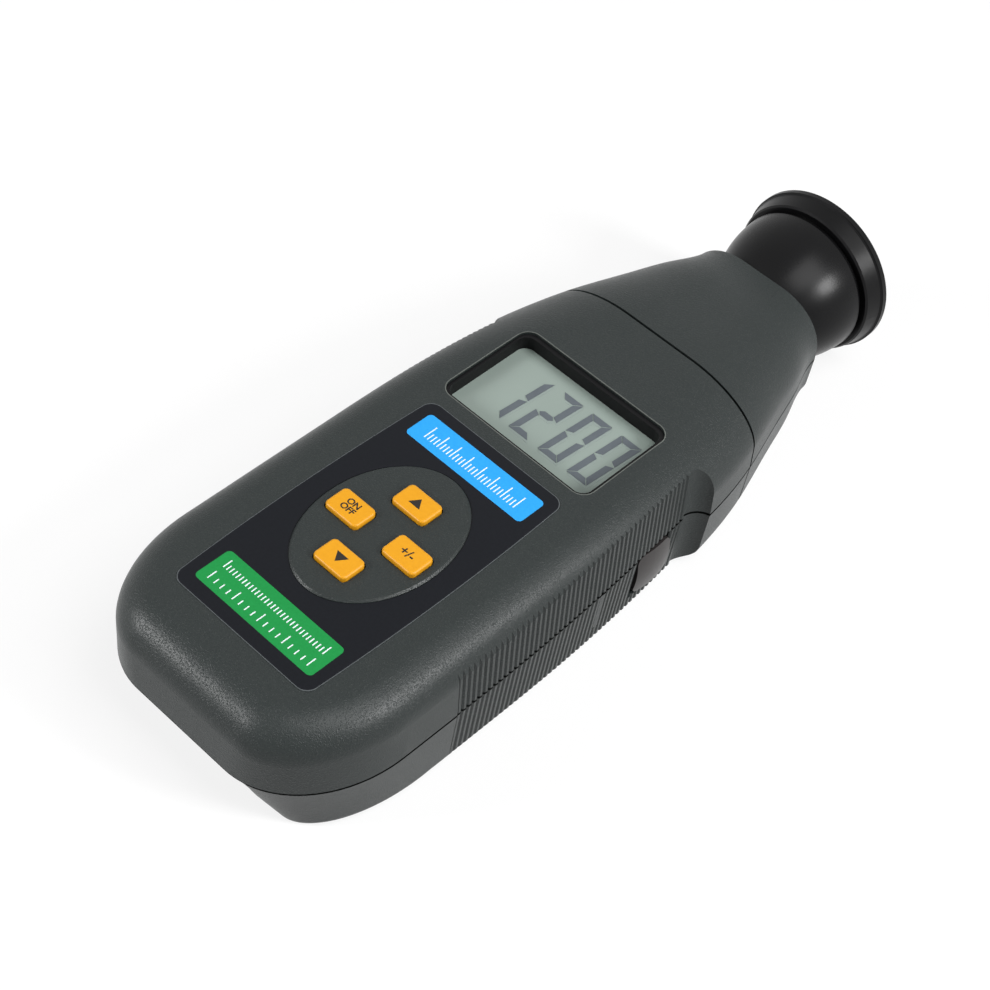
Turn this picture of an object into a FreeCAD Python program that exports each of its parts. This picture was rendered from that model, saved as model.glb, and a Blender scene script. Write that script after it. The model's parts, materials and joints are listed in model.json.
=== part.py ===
# Hand-held xenon stroboscope, in millimetres.
# X is across the body, Y runs from the butt to the lamp, Z comes out of the key face.
# The origin is under the middle of the body, level with the lowest point of the lens ring.
import FreeCAD
import Part
import Sketcher
import math
import os
from FreeCAD import Vector

doc = FreeCAD.newDocument("Stroboscope")
sheet = doc.addObject("Spreadsheet::Sheet", "Size")


class Dim:
    """A length that keeps its value together with the sheet formula it comes from."""

    def __init__(self, value, text):
        self.value = float(value)
        self.text = text

    def __add__(self, other):
        other = as_dim(other)
        return Dim(self.value + other.value, f"({self.text} + {other.text})")

    def __radd__(self, other):
        return as_dim(other) + self

    def __sub__(self, other):
        other = as_dim(other)
        return Dim(self.value - other.value, f"({self.text} - {other.text})")

    def __rsub__(self, other):
        return as_dim(other) - self

    def __mul__(self, other):
        other = as_dim(other)
        return Dim(self.value * other.value, f"({self.text} * {other.text})")

    def __rmul__(self, other):
        return as_dim(other) * self

    def __truediv__(self, other):
        other = as_dim(other)
        return Dim(self.value / other.value, f"({self.text} / {other.text})")

    def __neg__(self):
        return Dim(-self.value, f"(0 - {self.text})")


def as_dim(value):
    if isinstance(value, Dim):
        return value
    return Dim(value, repr(float(value)))


rows = []


def size(alias, value):
    """Store a driving dimension in the next row of the sheet."""
    rows.append(alias)
    row = len(rows)
    sheet.set(f"A{row}", alias)
    sheet.set(f"B{row}", str(value))
    sheet.setAlias(f"B{row}", alias)
    return Dim(value, f"Size.{alias}")


# Whole body
full_length = size("full_length", 218.0)
half_width = size("half_width", 37.0)
ring_radius = size("ring_radius", 22.25)
axis_height = size("axis_height", 18.75)
lower_depth = size("lower_depth", 18.0)
upper_depth = size("upper_depth", 19.0)
wall = size("wall_thickness", 2.0)
corner_across = size("corner_across", 23.0)
corner_along = size("corner_along", 30.0)
top_corner_across = size("top_corner_across", 18.0)
top_corner_along = size("top_corner_along", 32.0)
bottom_corner_across = size("bottom_corner_across", 12.8)
bottom_corner_along = size("bottom_corner_along", 30.4)
butt_undercut = size("butt_undercut", 9.5)
top_round = size("top_round", 9.5)
bottom_round = size("bottom_round", 3.0)
draft_angle = size("draft_angle", 3.0)
# Nose
flare_start = size("flare_start", 11.0)
flare_radius = size("flare_radius", 118.0)
flare_angle = size("flare_angle", 17.2)
seam_place = size("seam_place", 41.0)
seam_gap = size("seam_gap", 0.7)
nose_end = size("nose_end", 82.0)
# Grip flats
grip_start = size("grip_start", -63.0)
grip_end = size("grip_end", 17.0)
grip_bend_start = size("grip_bend_start", -56.0)
grip_bend_radius = size("grip_bend_radius", 680.0)
grip_inset = size("grip_inset", 0.15)
rib_count = size("rib_count", 48)
rib_depth = size("rib_depth", 0.55)
shoulder_radius = size("shoulder_radius", 5.5)
# Lamp head
neck_radius = size("neck_radius", 11.0)
bell_radius = size("bell_radius", 19.5)
bell_bend = size("bell_bend", 30.4)
bell_end = size("bell_end", 100.5)
ring_back = size("ring_back", 102.1)
ring_step = size("ring_step", 107.0)
spigot_radius = size("spigot_radius", 18.7)
glass_radius = size("glass_radius", 20.0)
# Label, keys and display
label_half = size("label_half", 21.0)
label_bulge = size("label_bulge", 1.1)
label_low = size("label_low", -93.2)
label_high = size("label_high", -14.9)
label_corner = size("label_corner", 3.0)
label_thick = size("label_thick", 0.25)
label_sink = size("label_sink", 0.15)
oval_place = size("oval_place", -51.6)
oval_wide = size("oval_wide", 16.4)
oval_long = size("oval_long", 22.7)
oval_rise = size("oval_rise", 0.6)
key_wide = size("key_wide", 10.0)
key_long = size("key_long", 7.0)
key_rise = size("key_rise", 1.8)
key_gap = size("key_gap", 0.25)
keys_place = size("keys_place", -52.4)
key_side_step = size("key_side_step", 8.9)
key_long_step = size("key_long_step", 11.8)
lcd_half = size("lcd_half", 22.8)
lcd_low = size("lcd_low", -10.7)
lcd_high = size("lcd_high", 19.4)
lcd_corner = size("lcd_corner", 3.5)
bezel_corner = size("bezel_corner", 2.8)
lcd_sink = size("lcd_sink", 4.4)
# Battery bay
door_half = size("door_half", 19.6)
door_end = size("door_end", 3.2)
door_gap = size("door_gap", 0.3)
door_sink = size("door_sink", 0.3)
cell_radius = size("cell_radius", 7.2)
cell_length = size("cell_length", 50.2)
tray_low = size("tray_low", -98.9)
# Side button
button_low = size("button_low", -1.0)
button_high = size("button_high", 12.0)
button_drop = size("button_drop", 14.5)
button_proud = size("button_proud", 1.2)
# Electronics
board_thick = size("board_thick", 1.6)
board_top = size("board_top", 33.2)
# Screws
screw_radius = size("screw_radius", 1.45)
screw_head = size("screw_head", 2.8)
well_radius = size("well_radius", 3.1)
doc.recompute()

back_z = ring_radius - axis_height
part_z = back_z + lower_depth
top_z = part_z + upper_depth
butt_y = -full_length / 2
front_y = full_length / 2
lamp_z = ring_radius
draft = math.tan(math.radians(draft_angle.value))
flare = math.radians(flare_angle.value)
nodes = {}


# Helpers for document objects

def bind(target, prop, dim):
    dim = as_dim(dim)
    target.setExpression(prop, dim.text)


def place(target, x=0, y=0, z=0):
    for prop, dim in (("x", x), ("y", y), ("z", z)):
        bind(target, f"Placement.Base.{prop}", dim)


def keep(name, target):
    target.Label = name
    nodes[name] = target
    return target


def block(name, corner, extent):
    box = doc.addObject("Part::Box", name)
    for prop, dim in zip(("Length", "Width", "Height"), extent):
        bind(box, prop, dim)
    place(box, *corner)
    return box


TURNS = {
    "X": FreeCAD.Rotation(Vector(0, 1, 0), 90),
    "Y": FreeCAD.Rotation(Vector(1, 0, 0), -90),
    "Z": FreeCAD.Rotation(),
}


def rod(name, radius, length, start, axis="Z"):
    cylinder = doc.addObject("Part::Cylinder", name)
    bind(cylinder, "Radius", radius)
    bind(cylinder, "Height", length)
    cylinder.Placement = FreeCAD.Placement(Vector(), TURNS[axis])
    place(cylinder, *start)
    return cylinder


def solid(name, shape):
    feature = doc.addObject("Part::Feature", name)
    feature.Shape = shape
    return feature


def join(name, parts):
    fused = doc.addObject("Part::MultiFuse", name)
    fused.Shapes = parts
    fused.Refine = True
    return fused


def cut(name, base, tools):
    tool = tools[0]
    if len(tools) > 1:
        tool = join(f"{name}_tools", tools)
    result = doc.addObject("Part::Cut", name)
    result.Base = base
    result.Tool = tool
    result.Refine = True
    return result


def common(name, base, tool):
    result = doc.addObject("Part::Common", name)
    result.Base = base
    result.Tool = tool
    return result


# Helpers for PartDesign bodies

def new_body(name):
    body = doc.addObject("PartDesign::Body", name)
    return keep(name, body)


def flat_sketch(body, name, role="XY_Plane"):
    sketch = body.newObject("Sketcher::SketchObject", name)
    plane = [item for item in body.Origin.OriginFeatures if item.Role == role][0]
    sketch.AttachmentSupport = [(plane, "")]
    sketch.MapMode = "FlatFace"
    return sketch


def pin_point(sketch, piece, point, x, y):
    """Hold one end of a piece at a bound distance from the origin."""
    for kind, dim in (("DistanceX", x), ("DistanceY", y)):
        dim = as_dim(dim)
        index = sketch.addConstraint(Sketcher.Constraint(kind, -1, 1, piece, point, dim.value))
        sketch.setExpression(f"Constraints[{index}]", dim.text)


def outline(sketch, corners, bends=None):
    """Closed outline through corners; bends maps a side's index to a middle point and a radius."""
    bends = bends or {}
    points = [Vector(as_dim(x).value, as_dim(y).value, 0) for x, y in corners]
    count = len(points)
    for index in range(count):
        start = points[index]
        end = points[(index + 1) % count]
        if index in bends:
            middle, radius = bends[index]
            middle = Vector(*middle, 0)
            if (middle - start).cross(end - middle).z > 0:
                side = sketch.addGeometry(Part.Arc(start, middle, end), False)
                first, last = 1, 2
            else:
                side = sketch.addGeometry(Part.Arc(end, middle, start), False)
                first, last = 2, 1
            radius = as_dim(radius)
            pin_point(sketch, side, first, *corners[index])
            pin_point(sketch, side, last, *corners[(index + 1) % count])
            held = sketch.addConstraint(Sketcher.Constraint("Radius", side, radius.value))
            sketch.setExpression(f"Constraints[{held}]", radius.text)
        else:
            side = sketch.addGeometry(Part.LineSegment(start, end), False)
            pin_point(sketch, side, 1, *corners[index])
            pin_point(sketch, side, 2, *corners[(index + 1) % count])


def rectangle(sketch, x0, y0, x1, y1):
    outline(sketch, [(x0, y0), (x1, y0), (x1, y1), (x0, y1)])


def rounded(sketch, x0, y0, x1, y1, radius):
    """Rectangle with arcs at its corners."""
    corners = [(x0 + radius, y0), (x1 - radius, y0), (x1, y0 + radius), (x1, y1 - radius),
               (x1 - radius, y1), (x0 + radius, y1), (x0, y1 - radius), (x0, y0 + radius)]
    reach = radius.value * math.sqrt(0.5)
    centres = [(x1 - radius, y0 + radius), (x1 - radius, y1 - radius),
               (x0 + radius, y1 - radius), (x0 + radius, y0 + radius)]
    ways = [(1, -1), (1, 1), (-1, 1), (-1, -1)]
    bends = {}
    for index, ((x, y), (way_x, way_y)) in enumerate(zip(centres, ways)):
        bends[2 * index + 1] = ((x.value + way_x * reach, y.value + way_y * reach), radius)
    outline(sketch, corners, bends)


def pad(body, sketch, length):
    feature = body.newObject("PartDesign::Pad", f"{body.Name}_pad")
    feature.Profile = sketch
    bind(feature, "Length", length)
    body.Tip = feature
    doc.recompute()
    return feature


def pocket(body, sketch, length, up=True):
    before = body.Shape.Volume
    feature = body.newObject("PartDesign::Pocket", f"{body.Name}_pocket")
    feature.Profile = sketch
    feature.Reversed = up
    bind(feature, "Length", length)
    body.Tip = feature
    doc.recompute()
    if body.Shape.Volume >= before:
        raise RuntimeError(f"{feature.Name} cuts nothing")
    return feature


def revolve(body, sketch):
    feature = body.newObject("PartDesign::Revolution", f"{body.Name}_revolution")
    feature.Profile = sketch
    feature.ReferenceAxis = (sketch, ["V_Axis"])
    feature.Angle = 360
    body.Tip = feature
    doc.recompute()
    return feature


def soften(body, kind, amount, chooser):
    """Fillet or chamfer the edges of the body's tip that the chooser accepts."""
    base = body.Tip
    names = [f"Edge{i + 1}" for i, edge in enumerate(base.Shape.Edges) if chooser(edge)]
    feature = body.newObject(f"PartDesign::{kind}", f"{body.Name}_{kind.lower()}")
    feature.Base = (base, names)
    bind(feature, "Radius" if kind == "Fillet" else "Size", amount)
    body.Tip = feature
    doc.recompute()
    return feature


def upright(edge):
    ends = [vertex.Point for vertex in edge.Vertexes]
    return len(ends) == 2 and abs(ends[0].x - ends[1].x) < 1e-6 and abs(ends[0].y - ends[1].y) < 1e-6


def at_height(level):
    def chooser(edge):
        return all(abs(vertex.Point.z - level) < 1e-4 for vertex in edge.Vertexes)
    return chooser


# The moulded body: one closed half above or below the parting plane

JOIN_Y = -30.0
LEAST_ROUND = 0.4
HEAD_STATIONS = (-30.0, -20.0, -10.0, 0.0, 11.0, 18.0, 26.0, 34.0, 41.0, 50.0, 60.0, 71.0, 82.0)


def smooth_step(value, start, end):
    share = min(1.0, max(0.0, (value - start) / (end - start)))
    return share * share * (3 - 2 * share)


def width_at(y):
    """Half width at the parting plane: straight sides, a round flare, then a straight taper."""
    run = y - flare_start.value
    arc_run = flare_radius.value * math.sin(flare)
    if run <= 0:
        return half_width.value
    if run <= arc_run:
        return half_width.value - flare_radius.value + math.sqrt(flare_radius.value ** 2 - run ** 2)
    arc_drop = flare_radius.value * (1 - math.cos(flare))
    return half_width.value - arc_drop - (run - arc_run) * math.tan(flare)


NOSE_DROP = 4.4
LOWER_NOSE_DROP = 3.2


def half_form(y, upper):
    """Depth from the parting plane and the two lengths of the corner's round at station y."""
    grown = smooth_step(y, JOIN_Y, seam_place.value)
    fall = max(0.0, (y - seam_place.value) / (nose_end.value - seam_place.value)) ** 1.6
    if upper:
        depth = upper_depth.value - NOSE_DROP * fall
        across = top_round.value + grown ** 2 * 13.5 - fall * 9.0
        along = top_round.value + grown * 4.2 - fall * 1.6
    else:
        depth = lower_depth.value - LOWER_NOSE_DROP * fall
        across = bottom_round.value + grown ** 2 * 3.5
        along = bottom_round.value + grown * 3.5
    return depth, across, along


CORNER_TURN = math.radians(45.0) + math.radians(draft_angle.value) / 2


def corner_arc(low, corner, high, turn=CORNER_TURN):
    """Elliptic round, tangent at its ends to the two sides that meet in the corner."""
    curve = Part.BSplineCurve()
    curve.buildFromPolesMultsKnots([low, corner, high], [3, 3], [0, 1], False, 2, [1, math.sin(turn), 1])
    return curve.toShape()


def cross_section(y, inset, upper):
    """Closed section of one half at station y, moved inwards by inset."""
    sign = 1 if upper else -1
    depth, across, along = half_form(y, upper)
    depth -= inset
    reach = 1 / math.tan(CORNER_TURN)
    across = max(LEAST_ROUND, across - inset) * reach
    along = max(LEAST_ROUND, along - inset) * reach
    wide = width_at(y) - inset
    base = part_z.value

    def spot(side, x, height):
        return Vector(side * x, y, base + sign * height)

    low_height = depth - along * math.cos(math.radians(draft_angle.value))
    edges = []
    corner_x = wide - draft * depth
    for side in (-1, 1):
        foot = spot(side, wide, 0)
        low = spot(side, wide - draft * low_height, low_height)
        corner = spot(side, corner_x, depth)
        high = spot(side, corner_x - across, depth)
        edges.append([foot, low, corner, high])
    left, right = edges
    return Part.Wire([
        Part.makeLine(left[0], left[1]),
        corner_arc(left[1], left[2], left[3]),
        Part.makeLine(left[3], right[3]),
        corner_arc(right[3], right[2], right[1]),
        Part.makeLine(right[1], right[0]),
        Part.makeLine(right[0], left[0]),
    ])


def plan_outline(inset, rise, upper):
    """Outline of the butt end at a height above or below the parting plane."""
    sign = 1 if upper else -1
    if upper:
        share = rise / upper_depth.value
        far_across, far_along = top_corner_across, top_corner_along
        shift = draft * rise
    else:
        share = rise / lower_depth.value
        far_across, far_along = bottom_corner_across, bottom_corner_along
        shift = butt_undercut.value * share
    wide = half_width.value - inset - draft * rise
    back = butt_y.value + inset + shift
    across = corner_across.value + (far_across.value - corner_across.value) * share - inset
    along = corner_along.value + (far_along.value - corner_along.value) * share - inset
    level = part_z.value + sign * rise

    def spot(x, y):
        return Vector(x, y, level)

    turn = math.radians(45.0)
    left = [spot(-wide, back + along), spot(-wide, back), spot(-wide + across, back)]
    right = [spot(wide - across, back), spot(wide, back), spot(wide, back + along)]
    return Part.Wire([
        Part.makeLine(spot(-wide, JOIN_Y), left[0]),
        corner_arc(*left, turn),
        Part.makeLine(left[2], right[0]),
        corner_arc(*right, turn),
        Part.makeLine(right[2], spot(wide, JOIN_Y)),
        Part.makeLine(spot(wide, JOIN_Y), spot(-wide, JOIN_Y)),
    ])


def outward(shape):
    """The same solid with its faces turned outwards."""
    body = shape.Solids[0]
    if body.Volume < 0:
        body.reverse()
    return body


def body_half(inset, upper):
    """One half of the outer form, from butt to nose, moved inwards by inset."""
    depth = (upper_depth if upper else lower_depth).value - inset
    radius = max(LEAST_ROUND, (top_round if upper else bottom_round).value - inset)
    level = part_z.value + (depth if upper else -depth)
    butt = outward(Part.makeLoft([plan_outline(inset, 0, upper), plan_outline(inset, depth, upper)],
                                 True, True))
    rim = []
    for edge in butt.Edges:
        points = [vertex.Point for vertex in edge.Vertexes]
        flat = all(abs(point.z - level) < 1e-4 for point in points)
        at_join = all(abs(point.y - JOIN_Y) < 1e-4 for point in points)
        if flat and not at_join:
            rim.append(edge)
    butt = butt.makeFillet(radius, rim)
    stations = [y for y in HEAD_STATIONS if y < nose_end.value] + [nose_end.value - inset]
    head = outward(Part.makeLoft([cross_section(y, inset, upper) for y in stations], True, False))
    whole = butt.fuse(head).removeSplitter()
    if len(whole.Solids) != 1:
        raise RuntimeError(f"body half at inset {inset} has {len(whole.Solids)} solids")
    return whole.Solids[0]


# The grip flats: a gently bent, ribbed face on each side, ending in a slanted shoulder

GRIP_FAR = 45.0
GRIP_TALL = 30.0
PLAIN_STEPS = 16
CREST_SHARES = (0.3, 0.7)
SHOULDER_TURN = math.radians(75.0)


def grip_crest(y):
    run = max(0.0, y - grip_bend_start.value)
    return half_width.value - grip_inset.value - run ** 2 / (2 * grip_bend_radius.value)


def grip_tool(side, upper, ribbed, inset=0.0):
    """The material to take off one side of one half."""
    first = grip_start.value
    last = grip_end.value
    count = int(rib_count.value) if ribbed else PLAIN_STEPS
    pitch = (last - first) / count
    level = part_z.value

    def spot(x, y):
        return Vector(side * x, y, level)

    edges = []
    sink = rib_depth.value if ribbed else inset
    points = [(grip_crest(first + i * pitch) - sink, first + i * pitch) for i in range(count + 1)]
    if ribbed:
        for i in range(count):
            crest = [first + (i + share) * pitch for share in CREST_SHARES]
            corners = [points[i]] + [(grip_crest(y), y) for y in crest] + [points[i + 1]]
            edges += [Part.makeLine(spot(*a), spot(*b)) for a, b in zip(corners, corners[1:])]
    else:
        curve = Part.BSplineCurve()
        curve.interpolate([spot(*point) for point in points])
        edges.append(curve.toShape())
    end_x, end_y = points[-1]
    radius = shoulder_radius.value
    bend = [(end_x + radius * (1 - math.cos(turn)), end_y + radius * math.sin(turn))
            for turn in (SHOULDER_TURN / 2, SHOULDER_TURN)]
    rise_x, rise_y = bend[1]
    far_y = rise_y + (GRIP_FAR - rise_x) / math.tan(SHOULDER_TURN)
    edges.append(Part.Arc(spot(end_x, end_y), spot(*bend[0]), spot(rise_x, rise_y)).toShape())
    edges.append(Part.makeLine(spot(rise_x, rise_y), spot(GRIP_FAR, far_y)))
    edges.append(Part.makeLine(spot(GRIP_FAR, far_y), spot(GRIP_FAR, points[0][1])))
    edges.append(Part.makeLine(spot(GRIP_FAR, points[0][1]), spot(*points[0])))
    rise = GRIP_TALL if upper else -GRIP_TALL
    return Part.Face(Part.Wire(edges)).extrude(Vector(-side * draft * GRIP_TALL, 0, rise))


def shell_half(upper):
    """Hollow half with its grip flats, before it is parted at the seam."""
    outer = body_half(0, upper)
    inner = body_half(wall.value, upper)
    ribbed = [grip_tool(side, upper, True) for side in (-1, 1)]
    plain = [grip_tool(side, upper, False, wall.value + rib_depth.value) for side in (-1, 1)]
    return outer.cut(ribbed), inner.cut(plain)


def slab(y0, y1):
    """A block across the whole body between two stations."""
    return Part.makeBox(100, y1 - y0, 80, Vector(-50, y0, -10))


def layer(z0, z1):
    """A block along the whole body between two heights."""
    return Part.makeBox(120, 260, z1 - z0, Vector(-60, -130, z0))


PARTING_GROOVE = 0.3
SEAM_DEPTH = 1.4
TONGUE_LENGTH = 5.0
TONGUE_THICK = 1.4


def split_shell(upper):
    """The main half shell and the nose half shell."""
    outer, inner = shell_half(upper)
    seam = seam_place.value
    main = outer.common(slab(butt_y.value - 5, seam)).cut(inner)
    nose = outer.common(slab(seam, nose_end.value + 5)).cut(inner)
    step = slab(seam - 1, seam + seam_gap.value).cut(body_half(SEAM_DEPTH, upper))
    nose = nose.cut(step)
    core = body_half(wall.value + TONGUE_THICK, upper)
    tongue = body_half(wall.value + 0.05, upper).common(slab(seam - TONGUE_LENGTH, seam + 1)).cut(core)
    root = body_half(wall.value - 0.5, upper).common(slab(seam + seam_gap.value, seam + 4)).cut(core)
    nose = nose.fuse([tongue, root]).removeSplitter()
    if not upper:
        top = part_z.value
        rim = layer(top - PARTING_GROOVE, top + 1)
        plain = [grip_tool(side, upper, False, PARTING_GROOVE + rib_depth.value) for side in (-1, 1)]
        rim = rim.cut(body_half(PARTING_GROOVE, upper).cut(plain))
        main = main.cut(rim)
        nose = nose.cut(rim)
    return main, nose


upper_main, upper_nose = split_shell(True)
lower_main, lower_nose = split_shell(False)

# Where the case screws stand
MAIN_SCREWS = ((25.5, -84.0), (26.0, 28.0))
NOSE_SCREW = (17.0, 52.0)
BOARD_POSTS = ((-23.5, -74.0), (23.5, -74.0), (-25.0, -20.0), (25.0, -20.0))
POST_RADIUS = 4.4
PILOT_RADIUS = 1.5
HEAD_THICK = 2.0
SCREW_LENGTH = 14.0


def screw_places():
    spots = []
    for side in (-1, 1):
        for x, y in MAIN_SCREWS + (NOSE_SCREW,):
            spots.append((side * x, y))
    return spots


def posts(name, spots, upper):
    """Screw posts from the parting plane into the outer wall, trimmed to the wall's inside."""
    length = upper_depth if upper else lower_depth
    start = part_z if upper else part_z - length
    group = join(f"{name}_rods", [rod(f"{name}_{i}", POST_RADIUS, length, (x, y, start))
                                  for i, (x, y) in enumerate(spots)])
    inside = solid(f"{name}_inside", body_half(wall.value - 0.6, upper))
    return common(name, group, inside)


def bores(name, spots, radius, start, length):
    return [rod(f"{name}_{i}", radius, length, (x, y, start)) for i, (x, y) in enumerate(spots)]


main_spots = [spot for spot in screw_places() if spot[1] < seam_place.value]
nose_spots = [spot for spot in screw_places() if spot[1] > seam_place.value]
head_z = part_z - 6.0


def upper_shell():
    shell = solid("upper_hull", upper_main)
    studs = [posts("upper_post", main_spots, True)]
    for i, (x, y) in enumerate(BOARD_POSTS):
        studs.append(rod(f"board_post_{i}", 2.4, top_z - wall + 0.5 - board_top, (x, y, board_top)))
    ring = doc.addObject("Part::Ellipse", "oval_edge")
    bind(ring, "MajorRadius", oval_long)
    bind(ring, "MinorRadius", oval_wide)
    ring.Placement = FreeCAD.Placement(Vector(), FreeCAD.Rotation(Vector(0, 0, 1), 90))
    place(ring, 0, oval_place, top_z - 1.0)
    rise = doc.addObject("Part::Extrusion", "oval_plateau")
    rise.Base = ring
    rise.Dir = Vector(0, 0, 1)
    rise.Solid = True
    bind(rise, "LengthFwd", oval_rise + 1.0)
    edges = doc.addObject("Part::Chamfer", "oval_soft")
    edges.Base = rise
    doc.recompute()
    top_level = rise.Shape.BoundBox.ZMax
    ids = [i + 1 for i, edge in enumerate(rise.Shape.Edges)
           if abs(edge.BoundBox.ZMin - top_level) < 1e-4 and abs(edge.BoundBox.ZMax - top_level) < 1e-4]
    edges.Edges = [(i, 0.45, 0.45) for i in ids]
    bed = cut("label_bed", solid("label_bed_block", label_shape(0.1, label_sink.value + 1)), [edges])
    bulk = join("upper_bulk", [shell] + studs)
    bulk = cut("upper_bedded", bulk, [bed])
    bulk = join("upper_with_oval", [bulk, edges])
    holes = bores("upper_pilot", main_spots, PILOT_RADIUS, part_z, 13.0)
    for name, x, y in key_places():
        hole = solid(f"{name}_hole", key_block(x, y, key_gap.value, top_z.value - 6, 12, 1.4))
        holes.append(hole)
    window = Part.makeBox(2 * lcd_half.value, lcd_high.value - lcd_low.value, 12,
                          Vector(-lcd_half.value, lcd_low.value, top_z.value - 6))
    window = window.makeFillet(lcd_corner.value, [edge for edge in window.Edges if upright(edge)])
    holes.append(solid("display_opening", window))
    keep("upper_shell", cut("upper_shell", bulk, holes))


def label_shape(grow, thick):
    """Outline of the label with bowed long sides, standing on the sunken bed."""
    half = label_half.value + grow
    low = label_low.value - grow
    high = label_high.value + grow
    middle = (low + high) / 2
    bow = half + label_bulge.value
    level = top_z.value - label_sink.value

    def spot(x, y):
        return Vector(x, y, level)

    face = Part.Face(Part.Wire([
        Part.makeLine(spot(-half, low), spot(half, low)),
        Part.Arc(spot(half, low), spot(bow, middle), spot(half, high)).toShape(),
        Part.makeLine(spot(half, high), spot(-half, high)),
        Part.Arc(spot(-half, high), spot(-bow, middle), spot(-half, low)).toShape(),
    ]))
    plate = face.extrude(Vector(0, 0, thick))
    return plate.makeFillet(label_corner.value, [edge for edge in plate.Edges if upright(edge)])


def key_places():
    return (
        ("key_up", 0.0, keys_place.value + key_long_step.value),
        ("key_down", 0.0, keys_place.value - key_long_step.value),
        ("key_on_off", -key_side_step.value, keys_place.value),
        ("key_fine", key_side_step.value, keys_place.value),
    )


def key_block(x, y, grow, start, tall, radius):
    wide = key_wide.value + 2 * grow
    long = key_long.value + 2 * grow
    box = Part.makeBox(wide, long, tall, Vector(x - wide / 2, y - long / 2, start))
    return box.makeFillet(radius, [edge for edge in box.Edges if upright(edge)])


def door_tool(half, end, rise):
    """The volume that the battery door fills: back plate and lower butt wall."""
    return Part.makeBox(2 * half, end - butt_y.value + 5, rise, Vector(-half, butt_y.value - 5, -5))


TRAY_RIBS = (-70.0, -40.0, -15.0)
TRAY_RIB_Z = 8.6
TRAY_WALL = 1.2
TRAY_TALL = 14.6
TRAY_LENGTH = 104.6
tray_half = 2 * cell_radius + 0.5 + TRAY_WALL


RAIL_START = -95.0
RAIL_ROOT = 0.9
RAIL_REACH = 1.4
RAIL_GAP = 0.3
RAIL_THICK = 0.9
WEB_PLACE = 17.0
WEB_THICK = 0.9
FLANGE_THICK = 1.2
rail_low = back_z + wall + RAIL_GAP
rail_high = rail_low + RAIL_THICK


def mirrored(name, near, far, y0, y1, z0, z1):
    """The same block on both sides of the body."""
    pair = []
    for side, x in ((-1, -far), (1, near)):
        pair.append(block(f"{name}_{side + 1}", (x, y0, z0), (far - near, y1 - y0, z1 - z0)))
    return pair


def lower_shell():
    opening = door_tool(door_half.value, door_end.value, part_z.value + 5.01)
    keep_in = Part.makeBox(2 * door_half.value, 200, part_z.value + 20,
                           Vector(-door_half.value, butt_y.value - 5, -5))
    hole = opening.cut(body_half(wall.value + 0.01, False))
    shell = solid("lower_hull", lower_main.cut(hole.common(keep_in)))
    pedestal = block("switch_pedestal", (21.85, 1.5, back_z + wall - 0.5), (3.3, 8.0, 5.95))
    ribs = join("tray_ribs", [
        block(f"tray_rib_{i}_{side + 1}", (tray_half if side > 0 else -tray_half - 22.0, y, TRAY_RIB_Z),
              (22.0, 1.6, part_z - TRAY_RIB_Z)) for i, y in enumerate(TRAY_RIBS) for side in (-1, 1)])
    ribs = common("tray_ribs_trimmed", ribs, solid("tray_rib_space", body_half(wall.value - 0.6, False)))
    rails = mirrored("rail_root", door_half + 0.1, door_half + RAIL_ROOT - 0.1, RAIL_START + 0.1,
                     door_end - 1.1, back_z + wall - 0.5, rail_low + 0.3)
    rails += mirrored("rail_arm", door_half - RAIL_REACH, door_half + RAIL_ROOT, RAIL_START,
                      door_end - 1, rail_low, rail_high)
    bulk = join("lower_bulk", [shell, posts("lower_post", main_spots, False), pedestal, ribs] + rails)
    holes = bores("lower_well", main_spots, well_radius, back_z - 1, lower_depth - 6.0 + 1)
    holes += bores("lower_through", main_spots, 1.7, back_z, lower_depth + 1)
    notch = block("button_notch", (24.0, button_low, part_z - button_drop),
                  (20.0, button_high - button_low, button_drop + 1))
    holes.append(notch)
    keep("lower_shell", cut("lower_shell", bulk, holes))


def battery_door():
    """Back plate and butt wall in one piece, with flanges that hook over the shell's rails."""
    half = door_half.value - door_gap.value
    end = door_end.value - door_gap.value
    region = door_tool(half, end, part_z.value - door_gap.value + 5)
    skin = body_half(door_sink.value, False).cut(body_half(wall.value, False))
    plate = skin.common(region)
    shapes = [solid("door_plate", plate)]
    flange_low = rail_high + RAIL_GAP
    flange_high = flange_low + FLANGE_THICK
    shapes += mirrored("door_web", WEB_PLACE + 0.1, WEB_PLACE + WEB_THICK, RAIL_START + 0.1,
                       door_end - 2.1, back_z + wall - 0.5, flange_low + 0.3)
    shapes += mirrored("door_flange", WEB_PLACE, door_half - RAIL_GAP, RAIL_START, door_end - 2,
                       flange_low, flange_high)
    bulk = join("door_bulk", shapes)
    grooves = []
    for i in range(5):
        y = -93.0 + i * 2.6
        grooves.append(block(f"door_groove_{i}", (-8.0, y, back_z - 1), (16.0, 1.2, 1.9)))
    keep("battery_door", cut("battery_door", bulk, grooves))


MOUTH_DEEP = 3.0
MOUTH_BACK = 11.3
MOUTH_FRONT = 13.6


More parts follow.
